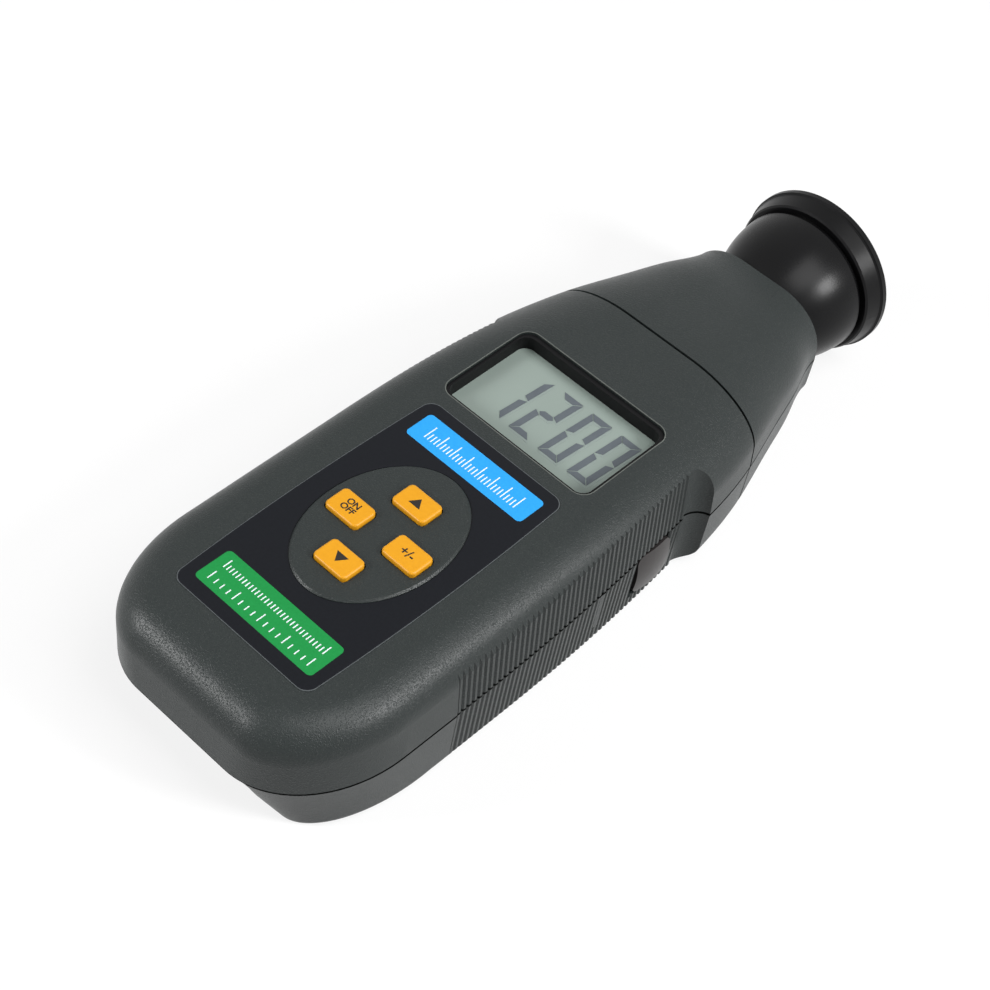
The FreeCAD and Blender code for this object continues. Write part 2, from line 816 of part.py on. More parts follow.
def nose_half(upper):
    """Nose half with saddles that hold the lamp neck."""
    name = "nose_upper" if upper else "nose_lower"
    shell = upper_nose if upper else lower_nose
    inside = body_half(wall.value - 0.5, upper)
    for y in (63.0, 74.0):
        shell = shell.fuse(inside.common(slab(y, y + 2.0)))
    bulk = solid(f"{name}_hull", shell.removeSplitter())
    bulk = join(f"{name}_bulk", [bulk, posts(f"{name}_post", nose_spots, upper)])
    mouth = doc.addObject("Part::Cone", f"{name}_mouth")
    mouth.Radius1 = MOUTH_BACK
    mouth.Radius2 = MOUTH_FRONT
    mouth.Height = MOUTH_DEEP
    mouth.Placement = FreeCAD.Placement(Vector(), TURNS["Y"])
    place(mouth, 0, nose_end - MOUTH_DEEP, lamp_z)
    holes = [rod(f"{name}_neck_seat", neck_radius + 0.05, 20.0, (0, 60.0, lamp_z), "Y"), mouth]
    if upper:
        holes += bores(f"{name}_pilot", nose_spots, PILOT_RADIUS, part_z, 9.0)
    else:
        holes += bores(f"{name}_well", nose_spots, well_radius, back_z - 1, lower_depth - 6.0 + 1)
        holes += bores(f"{name}_through", nose_spots, 1.7, back_z, lower_depth + 1)
    keep(name, cut(name, bulk, holes))


def case_screws():
    pieces = []
    for i, (x, y) in enumerate(screw_places()):
        head = rod(f"screw_head_{i}", screw_head, HEAD_THICK, (x, y, head_z - HEAD_THICK))
        shank = rod(f"screw_shank_{i}", screw_radius, SCREW_LENGTH, (x, y, head_z - 0.1))
        blade = join(f"screw_{i}", [head, shank])
        slot_a = block(f"screw_slot_a_{i}", (x - 1.6, y - 0.35, head_z - HEAD_THICK), (3.2, 0.7, 1.1))
        slot_b = block(f"screw_slot_b_{i}", (x - 0.35, y - 1.6, head_z - HEAD_THICK), (0.7, 3.2, 1.1))
        pieces.append(cut(f"case_screw_{i}", blade, [slot_a, slot_b]))
    group = doc.addObject("Part::Compound", "case_screws")
    group.Links = pieces
    keep("case_screws", group)


# Lamp head, turned about the lamp axis

def turned(name, corners, bends=None):
    body = new_body(name)
    sketch = flat_sketch(body, f"{name}_profile")
    outline(sketch, corners, bends)
    revolve(body, sketch)
    place(body, 0, 0, lamp_z)
    return body


def lamp_bell():
    neck_meet = bell_end.value - math.sqrt(
        bell_bend.value ** 2 - (bell_bend.value - bell_radius.value + neck_radius.value) ** 2)
    inner_bend = bell_bend.value - 1.5

    def bell_x(y, radius, reach):
        return reach - radius + math.sqrt(radius ** 2 - (bell_end.value - y) ** 2)

    middle = (neck_meet + bell_end.value) / 2
    throat = neck_radius.value - 1.8
    inner_reach = inner_bend - bell_radius.value + 1.5 + throat
    inner_meet = bell_end.value - math.sqrt(inner_bend ** 2 - inner_reach ** 2)
    inner_middle = (inner_meet + bell_end.value) / 2
    corners = [
        (throat, 60.0),
        (neck_radius, 60.0),
        (neck_radius, neck_meet),
        (bell_radius, bell_end),
        (spigot_radius, bell_end),
        (spigot_radius, 104.8),
        (bell_radius - 2.0, 104.8),
        (bell_radius - 2.0, bell_end + 0.5),
        (bell_radius - 1.9, bell_end),
        (throat, inner_meet),
    ]
    bends = {
        2: ((bell_x(middle, bell_bend.value, bell_radius.value), middle), bell_bend),
        8: ((bell_x(inner_middle, inner_bend, bell_radius.value - 1.5) - 0.2, inner_middle), inner_bend),
    }
    turned("lamp_bell", corners, bends)


def lens_ring():
    corners = [
        (spigot_radius + 0.05, ring_back),
        (ring_radius - 1.9, ring_back),
        (ring_radius - 1.45, ring_back + 0.5),
        (ring_radius - 0.55, ring_step - 0.35),
        (ring_radius - 0.25, ring_step),
        (ring_radius, ring_step + 0.1),
        (ring_radius, front_y - 0.5),
        (ring_radius - 0.5, front_y),
        (ring_radius - 2.6, front_y),
        (ring_radius - 3.6, front_y - 1.0),
        (glass_radius + 0.05, front_y - 1.0),
        (glass_radius + 0.05, 104.85),
        (spigot_radius + 0.05, 104.85),
    ]
    turned("lens_ring", corners)


def lamp_window():
    turned("lamp_window", [(0, front_y - 3.0), (glass_radius, front_y - 3.0),
                           (glass_radius, front_y - 1.05), (0, front_y - 1.05)])


REFLECTOR_FOCUS = 3.6
REFLECTOR_APEX = 86.0


def reflector():
    """Parabolic bowl with a rim that the ring clamps under the window."""
    def bowl(y, grow):
        return math.sqrt(4 * REFLECTOR_FOCUS * (y - REFLECTOR_APEX)) + grow

    stations = [90.0 + 2.4 * i for i in range(7)]
    inner = [Vector(bowl(y, 0), y, 0) for y in stations]
    outer = [Vector(bowl(y, 0.9), y, 0) for y in reversed(stations)]
    front = inner[-1]
    inner_curve = Part.BSplineCurve()
    inner_curve.interpolate(inner)
    outer_curve = Part.BSplineCurve()
    outer_curve.interpolate(outer)
    rim_out = glass_radius.value - 0.1
    rim_y = 104.9
    rim = [Vector(front.x, 105.9, 0), Vector(rim_out, 105.9, 0), Vector(rim_out, rim_y, 0),
           Vector(outer[0].x, rim_y, 0)]
    edges = [inner_curve.toShape(), Part.makeLine(front, rim[0])]
    edges += [Part.makeLine(a, b) for a, b in zip(rim, rim[1:])]
    edges += [Part.makeLine(rim[-1], outer[0]), outer_curve.toShape(), Part.makeLine(outer[-1], inner[0])]
    bowl_shape = Part.Face(Part.Wire(edges)).revolve(Vector(), Vector(0, 1, 0), 360)
    feature = solid("reflector", outward(bowl_shape))
    place(feature, 0, 0, lamp_z)
    keep("reflector", feature)


TUBE_RADIUS = 1.9
TUBE_STEP = 3.4
TUBE_BACK = 86.0
TUBE_BEND = 95.0
BAND_PLACE = 92.6


def xenon_tube():
    """Glass tube bent to a U, its legs standing in the holder."""
    legs = [rod(f"tube_leg_{side + 1}", TUBE_RADIUS, TUBE_BEND - TUBE_BACK,
                (side * TUBE_STEP, TUBE_BACK, lamp_z), "Y") for side in (-1, 1)]
    bend = doc.addObject("Part::Torus", "tube_bend")
    bend.Radius1 = TUBE_STEP
    bend.Radius2 = TUBE_RADIUS
    bend.Angle3 = 180
    place(bend, 0, TUBE_BEND, lamp_z)
    keep("xenon_tube", join("xenon_tube", legs + [bend]))


def tube_fittings():
    base = rod("holder_disc", neck_radius - 1.85, 5.0, (0, 76.5, lamp_z), "Y")
    collar = rod("holder_collar", 6.6, 7.5, (0, 81.5, lamp_z), "Y")
    body = join("holder_body", [base, collar])
    seats = [rod(f"holder_seat_{side + 1}", TUBE_RADIUS + 0.05, 4.0,
                 (side * TUBE_STEP, TUBE_BACK, lamp_z), "Y") for side in (-1, 1)]
    ways = [rod(f"holder_way_{side + 1}", 0.6, 11.0, (side * TUBE_STEP, 76.0, lamp_z), "Y")
            for side in (-1, 1)]
    keep("tube_holder", cut("tube_holder", body, seats + ways))
    pins = [rod(f"electrode_{side + 1}", 0.5, TUBE_BACK - 74.0,
                (side * TUBE_STEP, 74.0, lamp_z), "Y") for side in (-1, 1)]
    group = doc.addObject("Part::Compound", "tube_electrodes")
    group.Links = pins
    keep("tube_electrodes", group)
    bands = [rod(f"trigger_band_{side + 1}", TUBE_RADIUS + 0.4, 0.8,
                 (side * TUBE_STEP, BAND_PLACE, lamp_z), "Y") for side in (-1, 1)]
    gaps = [rod(f"trigger_way_{side + 1}", TUBE_RADIUS + 0.02, 2.8,
                (side * TUBE_STEP, BAND_PLACE - 1, lamp_z), "Y") for side in (-1, 1)]
    reach = TUBE_STEP - TUBE_RADIUS - 0.2
    bridge = block("trigger_bridge", (-reach, BAND_PLACE, lamp_z - 0.2), (2 * reach, 0.8, 0.4))
    keep("trigger_wire", cut("trigger_wire", join("trigger_bands", bands + [bridge]), gaps))


# Label, keys and display

def label_panel():
    plate = solid("label_plate", label_shape(0, label_thick.value))
    ring = doc.addObject("Part::Ellipse", "label_oval_edge")
    bind(ring, "MajorRadius", oval_long + 0.15)
    bind(ring, "MinorRadius", oval_wide + 0.15)
    ring.Placement = FreeCAD.Placement(Vector(), FreeCAD.Rotation(Vector(0, 0, 1), 90))
    place(ring, 0, oval_place, top_z - 1)
    hole = doc.addObject("Part::Extrusion", "label_oval")
    hole.Base = ring
    hole.Dir = Vector(0, 0, 1)
    hole.Solid = True
    hole.LengthFwd = 3
    keep("label_panel", cut("label_panel", plate, [hole]))


KEY_FLANGE = 0.8
KEY_TOP_EDGE = 0.6


def key(name, x, y):
    """Cap with softened top edges, on a flange that stops it under the shell."""
    body = new_body(name)
    half_x = key_wide / 2
    half_y = key_long / 2
    base = flat_sketch(body, f"{name}_flange_outline")
    rectangle(base, -half_x - KEY_FLANGE, -half_y - KEY_FLANGE, half_x + KEY_FLANGE, half_y + KEY_FLANGE)
    pad(body, base, 1.0)
    cap = flat_sketch(body, f"{name}_cap_outline")
    rectangle(cap, -half_x, -half_y, half_x, half_y)
    tall = top_z + key_rise - (top_z - wall - 1.1)
    feature = body.newObject("PartDesign::Pad", f"{name}_cap")
    feature.Profile = cap
    bind(feature, "Length", tall)
    body.Tip = feature
    doc.recompute()
    soften(body, "Fillet", 1.3, lambda edge: upright(edge) and edge.Length > 2)
    soften(body, "Fillet", KEY_TOP_EDGE, at_height(tall.value))
    place(body, x, y, top_z - wall - 1.1)


def keypad_mat():
    body = new_body("keypad_mat")
    sheet_outline = flat_sketch(body, "mat_outline")
    rectangle(sheet_outline, -15.5, -72.0, 15.5, -33.0)
    pad(body, sheet_outline, 1.2)
    domes = flat_sketch(body, "mat_domes")
    for _, x, y in key_places():
        circle = domes.addGeometry(Part.Circle(Vector(x, y, 0), Vector(0, 0, 1), 2.6), False)
        domes.addConstraint(Sketcher.Constraint("Radius", circle, 2.6))
        pin_point(domes, circle, 3, x, y)
    feature = body.newObject("PartDesign::Pad", "mat_posts")
    feature.Profile = domes
    feature.Length = 3.35
    body.Tip = feature
    doc.recompute()
    place(body, 0, 0, board_top)


BEZEL_WALL = 0.75


def lcd_bezel():
    """Black frame: a foot under the shell and a wall up into the opening."""
    body = new_body("lcd_bezel")
    half = lcd_half - 0.1
    low = lcd_low + 0.1
    high = lcd_high - 0.1
    foot = flat_sketch(body, "bezel_foot")
    rectangle(foot, -half - 1.4, low - 1.4, half + 1.4, high + 1.4)
    pad(body, foot, lcd_sink - wall - 0.6)
    rise = flat_sketch(body, "bezel_wall")
    rectangle(rise, -half, low, half, high)
    feature = body.newObject("PartDesign::Pad", "bezel_rise")
    feature.Profile = rise
    bind(feature, "Length", lcd_sink - 0.7)
    body.Tip = feature
    doc.recompute()
    soften(body, "Fillet", lcd_corner - 0.1, upright)
    hole = flat_sketch(body, "bezel_hole")
    rounded(hole, -half + BEZEL_WALL, low + BEZEL_WALL, half - BEZEL_WALL, high - BEZEL_WALL - 0.5,
            bezel_corner)
    pocket(body, hole, lcd_sink + 1)
    place(body, 0, 0, top_z - lcd_sink)


def lcd_glass():
    body = new_body("lcd_glass")
    sketch = flat_sketch(body, "glass_outline")
    rectangle(sketch, -lcd_half - 0.7, lcd_low - 1.0, lcd_half + 0.7, lcd_high + 1.0)
    pad(body, sketch, top_z - lcd_sink - board_top)
    place(body, 0, 0, board_top)


BUTTON_GAP = 0.4
BUTTON_WIDE_GAP = 1.1


def side_button():
    """Push cap with a domed face, kept in by a flange behind the wall."""
    middle = (button_low.value + button_high.value) / 2
    face_x = grip_crest(middle) - draft * 7 + button_proud.value
    low = button_low.value + BUTTON_WIDE_GAP
    high = button_high.value - BUTTON_GAP
    z0 = part_z.value - button_drop.value + BUTTON_GAP
    z1 = part_z.value - BUTTON_WIDE_GAP
    cap = Part.makeBox(face_x - 28.0, high - low, z1 - z0, Vector(28.0, low, z0))
    cap = cap.makeFillet(2.4, [edge for edge in cap.Edges
                               if abs(edge.Vertexes[0].Point.y - edge.Vertexes[-1].Point.y) < 1e-6
                               and abs(edge.Vertexes[0].Point.z - edge.Vertexes[-1].Point.z) < 1e-6])
    dome = Part.makeSphere(28.0, Vector(face_x - 28.0, middle, (z0 + z1) / 2))
    cap = cap.common(dome)
    rim = Part.makeBox(1.4, button_high.value - button_low.value + 1.6, z1 - z0 + 0.8,
                       Vector(28.0, button_low.value - 0.8, z0 - 0.8))
    keep("side_button", solid("side_button", cap.fuse(rim).removeSplitter()))


def side_switch():
    board = block("side_board", (20.6, -1.0, back_z + wall + 0.05), (1.2, 13.0, 13.0))
    keep("side_board", board)
    body = block("switch_body", (21.8, 2.5, part_z - 10.5), (3.4, 6.0, 6.0))
    stem = rod("switch_stem", 1.7, 1.6, (25.2, 5.5, part_z - 7.5), "X")
    keep("side_switch", join("side_switch", [body, stem]))


# Electronics and batteries

def main_board():
    body = new_body("main_board")
    sketch = flat_sketch(body, "board_outline")
    rectangle(sketch, -26.5, -78.0, 26.5, 22.5)
    pad(body, sketch, board_thick)
    place(body, 0, 0, board_top - board_thick)


def board_screws():
    pieces = []
    for i, (x, y) in enumerate(BOARD_POSTS):
        pieces.append(rod(f"board_screw_{i}", 2.2, 1.3, (x, y, board_top - board_thick - 1.3)))
    group = doc.addObject("Part::Compound", "board_screws")
    group.Links = pieces
    keep("board_screws", group)


def battery_tray():
    """Open box, mouth down, with a rib between the two rows of cells."""
    body = new_body("battery_tray")
    half = tray_half
    sketch = flat_sketch(body, "tray_outline")
    rectangle(sketch, -half, 0, half, TRAY_LENGTH)
    pad(body, sketch, TRAY_TALL)
    for side in (-1, 1):
        hole = flat_sketch(body, f"tray_hole_{side + 1}")
        near = 0.3 * side
        far = side * (half - TRAY_WALL)
        rectangle(hole, near, TRAY_WALL, far, TRAY_LENGTH - TRAY_WALL)
        pocket(body, hole, TRAY_TALL - TRAY_WALL)
    place(body, 0, tray_low, part_z + 0.2 - TRAY_TALL)


def battery_cell(index, x, y, flip):
    """One AA cell with its raised positive cap."""
    body = new_body(f"battery_cell_{index}")
    sketch = flat_sketch(body, f"cell_profile_{index}")
    radius = cell_radius
    length = cell_length
    outline(sketch, [
        (0, 0), (radius - 1.2, 0), (radius, 0.7), (radius, length - 1.9),
        (radius - 0.7, length - 1.4), (2.7, length - 1.4), (2.7, length), (0, length),
    ])
    revolve(body, sketch)
    if flip:
        body.Placement = FreeCAD.Placement(Vector(), FreeCAD.Rotation(Vector(0, 0, 1), 180))
        place(body, x, y + length, part_z - 1.2 - radius)
    else:
        place(body, x, y, part_z - 1.2 - radius)


def battery_cells():
    index = 1
    for side in (-1, 1):
        for half in (0, 1):
            y = tray_low + TRAY_WALL + 0.85 + half * (cell_length + 0.1)
            battery_cell(index, side * (cell_radius + 0.35), y, side > 0)
            index += 1


def battery_contacts():
    """Plated strips at both ends of the tray."""
    low = tray_low + TRAY_WALL
    high = low + TRAY_LENGTH - 2 * TRAY_WALL
    level = part_z - 12.2
    pieces = []
    for side in (-1, 1):
        x = 1.9 if side > 0 else -12.9
        pieces.append(block(f"contact_low_{side + 1}", (x, low, level), (11.0, 0.5, 9.0)))
        pieces.append(block(f"contact_high_{side + 1}", (x, high - 0.5, level), (11.0, 0.5, 9.0)))
    group = doc.addObject("Part::Compound", "battery_contacts")
    group.Links = pieces
    keep("battery_contacts", group)


def power_parts():
    floor = back_z + wall
    body = new_body("flash_capacitor")
    sketch = flat_sketch(body, "capacitor_profile")
    outline(sketch, [(0, 0), (7.0, 0), (7.5, 0.5), (7.5, 24.6), (7.0, 25.3), (7.4, 26.0),
                     (7.4, 27.4), (6.8, 28.0), (0, 28.0)])
    revolve(body, sketch)
    place(body, -10.5, 7.0, floor + 7.55)
    floor = floor + 0.05
    core = block("transformer_core", (4.0, 14.0, floor), (16.0, 16.0, 13.0))
    window = block("transformer_window", (7.0, 13.0, floor + 3), (10.0, 18.0, 7.0))
    core = cut("transformer_frame", core, [window])
    coil = block("transformer_coil", (7.0, 12.6, floor + 3), (10.0, 18.8, 7.0))
    keep("trigger_transformer", join("trigger_transformer", [core, coil]))


def write_parts():
    doc.recompute()
    for item in doc.Objects:
        if "Invalid" in item.State or "Error" in item.State:
            raise RuntimeError(f"{item.Name} failed: {item.State}")
    os.makedirs("parts", exist_ok=True)
    for name, item in sorted(nodes.items()):
        shape = item.Shape
        if shape.isNull() or not shape.isValid() or not shape.Solids:
            raise RuntimeError(f"{name} has no valid solid")
        shape.exportStep(f"parts/{name}.step")
        box = shape.BoundBox
        print(f"{name}: {len(shape.Solids)} solid, {shape.Volume:.0f} mm3, "
              f"x {box.XMin:.1f}..{box.XMax:.1f} y {box.YMin:.1f}..{box.YMax:.1f} "
              f"z {box.ZMin:.1f}..{box.ZMax:.1f}")


upper_shell()
lower_shell()
battery_door()
nose_half(True)
nose_half(False)
case_screws()
lamp_bell()
lens_ring()
lamp_window()
reflector()
xenon_tube()
tube_fittings()
label_panel()
for key_name, key_x, key_y in key_places():
    key(key_name, key_x, key_y)
keypad_mat()
lcd_bezel()
lcd_glass()
side_button()
side_switch()
main_board()
board_screws()
battery_tray()
battery_cells()
battery_contacts()
power_parts()
write_parts()
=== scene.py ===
# Hand-held xenon stroboscope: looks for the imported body, keys, display and lamp head.
# Metres, in the frame of the model: X across, Y from butt to lamp, Z out of the key face.
import json
import math
import bpy
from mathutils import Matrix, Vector


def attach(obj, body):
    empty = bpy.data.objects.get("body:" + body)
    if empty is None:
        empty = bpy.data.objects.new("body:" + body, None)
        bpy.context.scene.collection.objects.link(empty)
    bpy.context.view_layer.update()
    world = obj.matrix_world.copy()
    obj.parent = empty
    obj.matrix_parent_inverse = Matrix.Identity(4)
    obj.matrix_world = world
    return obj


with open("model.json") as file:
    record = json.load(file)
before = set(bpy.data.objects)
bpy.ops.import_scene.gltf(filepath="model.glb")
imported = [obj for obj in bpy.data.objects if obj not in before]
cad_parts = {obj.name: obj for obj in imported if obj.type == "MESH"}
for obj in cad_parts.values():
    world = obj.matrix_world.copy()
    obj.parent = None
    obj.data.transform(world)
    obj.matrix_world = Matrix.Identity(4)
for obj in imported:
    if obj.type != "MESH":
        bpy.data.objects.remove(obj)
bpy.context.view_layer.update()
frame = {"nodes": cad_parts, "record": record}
nodes = frame["nodes"]
mm = 0.001


def deselectAll():
    for item in bpy.context.selected_objects:
        item.select_set(False)


deselectAll()

# Camera, as solved from the label, the display and the ring

cameraSet = {
    "place": (0.20817, -0.28048, 0.40975),
    "turn": (40.991, -5.402, 44.129),
    "lens": 80.18,
    "sensor": 36.0,
}


def addCamera():
    turn = [math.radians(angle) for angle in cameraSet["turn"]]
    bpy.ops.object.camera_add(location=cameraSet["place"], rotation=turn)
    camera = bpy.context.object
    camera.name = "photoCamera"
    camera.data.lens = cameraSet["lens"]
    camera.data.sensor_width = cameraSet["sensor"]
    camera.data.clip_start = 0.01
    camera.data.clip_end = 10
    camera.data.dof.use_dof = False
    bpy.context.scene.camera = camera


addCamera()
print("stage: camera")


# Shader maths as plain expressions


class Wire:
    def __init__(self, paint, socket):
        self.paint = paint
        self.socket = socket

    def maths(self, operation, *values):
        return self.paint.node("ShaderNodeMath", {"operation": operation}, dict(enumerate(values)))

    def __add__(self, other):
        return self.maths("ADD", self, other)

    def __radd__(self, other):
        return self.maths("ADD", other, self)

    def __sub__(self, other):
        return self.maths("SUBTRACT", self, other)

    def __rsub__(self, other):
        return self.maths("SUBTRACT", other, self)

    def __mul__(self, other):
        return self.maths("MULTIPLY", self, other)

    def __rmul__(self, other):
        return self.maths("MULTIPLY", other, self)

    def __truediv__(self, other):
        return self.maths("DIVIDE", self, other)

    def __pow__(self, other):
        return self.maths("POWER", self, other)

    def __gt__(self, other):
        return self.maths("GREATER_THAN", self, other)

    def __lt__(self, other):
        return self.maths("LESS_THAN", self, other)

    def __abs__(self):
        return self.maths("ABSOLUTE", self)

    def most(self, other):
        return self.maths("MAXIMUM", self, other)

    def least(self, other):
        return self.maths("MINIMUM", self, other)

    def root(self):
        return self.maths("SQRT", self)

    def ramp(self, low, high):  # 0 below low, 1 above high, smooth between
        settings = {"interpolation_type": "SMOOTHSTEP"}
        return self.paint.node("ShaderNodeMapRange", settings, {0: self, 1: low, 2: high, 3: 0.0, 4: 1.0})


class Paint:
    def __init__(self, name):
        self.material = bpy.data.materials.new(name)
        self.material.use_nodes = True
        self.tree = self.material.node_tree
        self.shader = self.tree.nodes["Principled BSDF"]

    def node(self, kind, settings=None, values=None, out=0):
        made = self.tree.nodes.new(kind)
        for name, value in (settings or {}).items():
            if name == "stops":
                for index, (place, colour) in enumerate(value):
                    if index > 1:
                        made.color_ramp.elements.new(place)
                    made.color_ramp.elements[index].position = place
                    made.color_ramp.elements[index].color = colour
            else:
                setattr(made, name, value)
        for name, value in (values or {}).items():
            self.feed(made.inputs[name], value)
        return Wire(self, made.outputs[out])

    def feed(self, socket, value):
        if isinstance(value, Wire):
            self.tree.links.new(value.socket, socket)
        else:
            socket.default_value = value

    def place(self):
        return self.node("ShaderNodeTexCoord", out="Object")

    def axes(self):
        coords = self.place()
        return [self.node("ShaderNodeSeparateXYZ", values={0: coords}, out=i) for i in range(3)]

    def noise(self, scale, detail=2.0, rough=0.5):
        values = {"Vector": self.place(), "Scale": scale, "Detail": detail, "Roughness": rough}
        return self.node("ShaderNodeTexNoise", values=values)

    def blend(self, share, low, high):  # mixes two colours
        settings = {"data_type": "RGBA"}
        return self.node("ShaderNodeMix", settings, {"Factor": share, 6: low, 7: high}, out=2)

    def bump(self, height, distance, strength=1.0):
        values = {"Height": height, "Distance": distance, "Strength": strength}
        return self.node("ShaderNodeBump", values=values)

    def set(self, **values):
        for name, value in values.items():
            self.feed(self.shader.inputs[name.replace("_", " ")], value)
        return self.material


def colour(red, green, blue):  # screen colour, 0 to 255, as the linear colour that shaders use
    parts = []
    for part in (red, green, blue):
        part = part / 255
        parts.append(part / 12.92 if part <= 0.04045 else ((part + 0.055) / 1.055) ** 2.4)
    return (*parts, 1.0)


# Materials

housingSet = {
    # The light edge colour is a painted highlight on the rim of the display opening.
    # The near-black colour is painted shade along the parting seam.
    "dark": (32, 37, 37), "light": (40, 45, 44), "edge": (128, 132, 126), "seamShade": (12, 13, 12),
    "grain": 3400.0, "parting": 21.35,
    "display": {"middle": (0.0, 4.35), "half": (22.8, 15.05), "round": 3.5},
}


def roundedField(x, y, middle, half, radius):  # distance in mm, below 0 inside
    outX = (abs(x - middle[0]) - (half[0] - radius)).most(0.0)
    outY = (abs(y - middle[1]) - (half[1] - radius)).most(0.0)
    return (outX * outX + outY * outY).root() - radius


def housingPlastic():
    paint = Paint("housingPlastic")
    fine = paint.noise(housingSet["grain"], 2.0, 0.6)
    wide = paint.noise(55.0, 3.0, 0.5)
    spark = paint.noise(housingSet["grain"] * 0.8, 1.0, 0.5).ramp(0.5, 0.72)
    base = paint.blend(fine.ramp(0.3, 0.7), colour(*housingSet["dark"]), colour(*housingSet["light"]))
    x, y, z = paint.axes()
    display = housingSet["display"]
    field = roundedField(x * 1000.0, y * 1000.0, display["middle"], display["half"], display["round"])
    # painted highlight: a thin light ring round the display opening, on the top face only
    edge = (1.0 - abs(field - 0.12).ramp(0.06, 0.16)) * (z > 40.3 * mm)
    base = paint.blend(edge * 0.5, base, colour(*housingSet["edge"]))
    rough = 0.28 + fine * 0.12 + wide * 0.04
    paint.set(Base_Color=base, Roughness=rough, Specular_IOR_Level=0.26,
              Normal=paint.bump(fine + spark, 0.00006, 0.8))
    # painted shade: a near-black diffuse band along the parting seam, mixed over the plastic
    seamShade = 1.0 - abs(z * 1000.0 - housingSet["parting"]).ramp(0.3, 0.44)
    shadow = paint.node("ShaderNodeBsdfDiffuse", values={"Color": colour(*housingSet["seamShade"])})
    mixed = paint.node("ShaderNodeMixShader", values={0: seamShade, 1: Wire(paint, paint.shader.outputs[0]), 2: shadow})
    paint.feed(paint.tree.nodes["Material Output"].inputs["Surface"], mixed)
    return paint.material


def screwZinc():
    paint = Paint("screwZinc")
    grain = paint.noise(1800.0)
    base = paint.blend(grain, colour(70, 70, 74), colour(98, 97, 100))
    return paint.set(Base_Color=base, Metallic=0.9, Roughness=0.32 + grain * 0.2)


def bellBlack():
    paint = Paint("bellBlack")
    grain = paint.noise(2200.0, 2.0, 0.6)
    wide = paint.noise(70.0)
    base = paint.blend(wide, colour(8, 8, 9), colour(14, 14, 15))
    rough = 0.22 + grain * 0.08 + wide * 0.05
    return paint.set(Base_Color=base, Roughness=rough, Specular_IOR_Level=0.14,
                     Normal=paint.bump(grain, 0.00002, 0.4))


def ringBlack():
    paint = Paint("ringBlack")
    grain = paint.noise(900.0, 3.0, 0.6)
    base = paint.blend(grain, colour(6, 6, 7), colour(12, 12, 13))
    return paint.set(Base_Color=base, Roughness=0.28 + grain * 0.1, Specular_IOR_Level=0.14,
                     Normal=paint.bump(grain, 0.00001, 0.3))


def clearGlass(name, tint, rough):
    paint = Paint(name)
    haze = paint.noise(120.0, 3.0)
    material = paint.set(Base_Color=paint.blend(haze, colour(*tint), colour(250, 252, 253)),
                         Roughness=rough + haze * 0.02, Transmission_Weight=1.0, IOR=1.46)
    return material


def brightChrome():
    paint = Paint("brightChrome")
    haze = paint.noise(90.0, 2.0)
    return paint.set(Base_Color=paint.blend(haze, colour(214, 216, 219), colour(232, 233, 235)),
                     Metallic=1.0, Roughness=0.07 + haze * 0.06)


def contactNickel():
    paint = Paint("contactNickel")
    grain = paint.noise(1500.0)
    return paint.set(Base_Color=paint.blend(grain, colour(178, 175, 168), colour(206, 203, 196)),
                     Metallic=1.0, Roughness=0.25 + grain * 0.15)


def plainGrain(name, low, high, scale, rough, spread, depth, sheen=0.3):
    paint = Paint(name)
    grain = paint.noise(scale, 3.0, 0.55)
    return paint.set(Base_Color=paint.blend(grain, colour(*low), colour(*high)),
                     Roughness=rough + grain * spread, Specular_IOR_Level=sheen,
                     Normal=paint.bump(grain, depth, 0.5))


labelSet = {
    "film": ((10, 12, 17), (17, 19, 24)),
    "edge": ((70, 74, 76), (96, 100, 102)),
    "blue": {"middle": (0.0, -22.45), "half": (18.1, 4.25), "tint": ((40, 148, 218), (52, 160, 230))},
    "green": {"middle": (0.0, -84.35), "half": (18.15, 5.15), "tint": ((26, 128, 60), (34, 138, 70))},
    "round": 1.2,
    "outline": {"middle": (0.0, -54.05), "half": (22.1, 39.15), "bow": 1.1, "round": 3.0, "line": 0.16},
}


def labelFilm():
    paint = Paint("labelFilm")
    x, y, z = paint.axes()
    x = x * 1000.0
    y = y * 1000.0
    grain = paint.noise(1400.0, 2.0, 0.5)
    base = paint.blend(grain, colour(*labelSet["film"][0]), colour(*labelSet["film"][1]))
    for name in ("blue", "green"):
        field = labelSet[name]
        inside = 1.0 - roundedField(x, y, field["middle"], field["half"], labelSet["round"]).ramp(-0.06, 0.06)
        tint = paint.blend(grain, colour(*field["tint"][0]), colour(*field["tint"][1]))
        base = paint.blend(inside, base, tint)
    rim = labelSet["outline"]
    wide, tall = rim["half"]
    share = (y - rim["middle"][1]) / tall
    field = roundedField(x, y, rim["middle"], (wide - share * share * rim["bow"], tall), rim["round"])
    edge = field.ramp(-rim["line"] - 0.06, -rim["line"] + 0.06)
    base = paint.blend(edge, base, paint.blend(grain, *[colour(*tint) for tint in labelSet["edge"]]))
    return paint.set(Base_Color=base, Roughness=0.34 + grain * 0.1, Specular_IOR_Level=0.14,
                     Normal=paint.bump(grain, 0.00001, 0.35))


def displayGrey():
    paint = Paint("displayGrey")
    cloud = paint.noise(45.0, 2.0)
    base = paint.blend(cloud, colour(130, 142, 136), colour(141, 153, 146))
    return paint.set(Base_Color=base, Roughness=0.22 + cloud * 0.05, Specular_IOR_Level=0.3)


